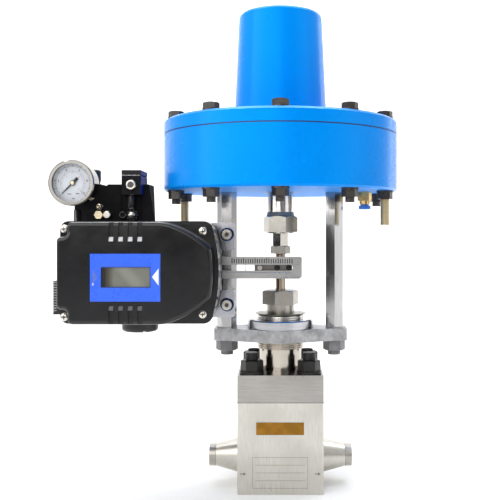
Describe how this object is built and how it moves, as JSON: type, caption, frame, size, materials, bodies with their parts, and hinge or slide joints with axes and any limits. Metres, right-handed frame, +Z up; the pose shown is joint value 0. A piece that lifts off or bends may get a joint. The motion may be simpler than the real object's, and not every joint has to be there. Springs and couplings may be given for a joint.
{
  "type": "pneumatic control valve",
  "caption": "Upright globe control valve with weld ends, a yoke on hexagonal pillars, a round spring diaphragm actuator and a side-mounted positioner with its air set.",
  "frame": {"origin": "centre of the body block's flat base, on the stem's axis", "axes": "+Z up along the stem, +X in the direction of flow out of the valve, -Y the side of the positioner's display"},
  "size_m": [0.3264, 0.23, 0.465],
  "materials": {
    "stainless": "brushed, satin",
    "plated_steel": "zinc plated, matt",
    "black_steel": "black oxide",
    "dark_steel": "dark oiled steel",
    "spring_steel": "phosphated",
    "blue_paint": "semi-gloss paint",
    "black_casting": "powder coated casting",
    "black_gloss": "glossy powder coat",
    "black_plastic": "moulded",
    "ptfe": "PTFE",
    "graphite": "graphite filled",
    "rubber": "moulded rubber",
    "bronze": "sintered bronze",
    "brass": "machined brass",
    "nickel": "nickel plated",
    "chrome": "polished",
    "aluminium": "machined",
    "circuit": "glass-epoxy board",
    "blue_label": "printed film, no lettering",
    "display_grey": "liquid crystal display",
    "dial_white": "printed dial",
    "glass": "clear",
    "pointer_black": "black",
    "ring_blue": "moulded"
  },
  "bodies": {
    "valve": {"body_block": "stainless", "seat_ring": "stainless", "bonnet_gasket": "graphite", "bonnet": "stainless", "bonnet_nuts": "black_steel", "bonnet_studs": "black_steel", "stem_packing": "ptfe", "gland_nut": "stainless", "gland_disc": "stainless", "yoke_plate": "plated_steel", "yoke_locknut": "plated_steel", "left_pillar": "stainless", "right_pillar": "stainless", "pillar_nuts": "stainless", "lower_case": "blue_paint", "top_cover": "blue_paint", "spring_barrel": "blue_paint", "case_bolts": "dark_steel", "long_case_bolts": "dark_steel", "case_nuts": "dark_steel", "diaphragm": "rubber", "return_spring": "spring_steel", "upper_spring_seat": "spring_steel", "rod_bush": "bronze", "rod_seal": "rubber", "air_fitting": "brass", "positioner_base": "black_casting", "circuit_board": "circuit", "pilot_valve": "aluminium", "cover_gasket": "rubber", "positioner_cover": "black_gloss", "cover_screws": "stainless", "label_plate": "blue_label", "display": "display_grey", "port_plugs": "black_plastic", "positioner_bracket": "plated_steel", "bracket_screws": "stainless", "regulator_body": "black_casting", "filter_bowl": "black_casting", "relay_block": "black_casting", "brass_fittings": "brass", "steel_fittings": "nickel", "gauge_case": "black_casting", "gauge_bezel": "chrome", "gauge_dial": "dial_white", "gauge_glass": "glass"},
    "stem": {"actuator_rod": "stainless", "diaphragm_plates": "plated_steel", "coupling_nut": "stainless", "stem_adapter": "stainless", "stem_lock_nut": "stainless", "valve_stem": "stainless", "feedback_clamp": "stainless", "clamp_screws": "black_steel", "feedback_pin": "stainless"},
    "lever": {"feedback_lever": "stainless", "positioner_shaft": "stainless"},
    "pointer": {"gauge_pointer": "pointer_black"},
    "release": {"release_ring": "ring_blue"},
    "knob": {"regulator_knob": "black_plastic"}
  },
  "joints": [
    {"name": "stem_travel", "type": "slide", "parent": "valve", "child": "stem", "axis": [0, 0, 1], "range_m": [0, 0.012], "stiffness_N_per_m": 12000, "springref_m": -0.02, "deforming": ["return_spring", "diaphragm"]},
    {"name": "lever_swing", "type": "hinge", "parent": "valve", "child": "lever", "pos_m": [-0.105, -0.02, 0.2141], "axis": [0, -1, 0], "range_deg": [-1, 9]},
    {"name": "gauge_needle", "type": "hinge", "parent": "valve", "child": "pointer", "pos_m": [-0.1902, -0.066, 0.2937], "axis": [0, 1, 0], "range_deg": [0, 270]},
    {"name": "ring_push", "type": "slide", "parent": "valve", "child": "release", "axis": [0, 0, 1], "range_m": [0, 0.001], "stiffness_N_per_m": 800},
    {"name": "pressure_knob", "type": "hinge", "parent": "valve", "child": "knob", "pos_m": [-0.19, 0.002, 0.305], "axis": [0, 0, 1], "range_deg": [-540, 540]}
  ],
  "couplings": [
    {"joint": "lever_swing", "follows": "stem_travel", "rad_per_m": 11.765}
  ]
}
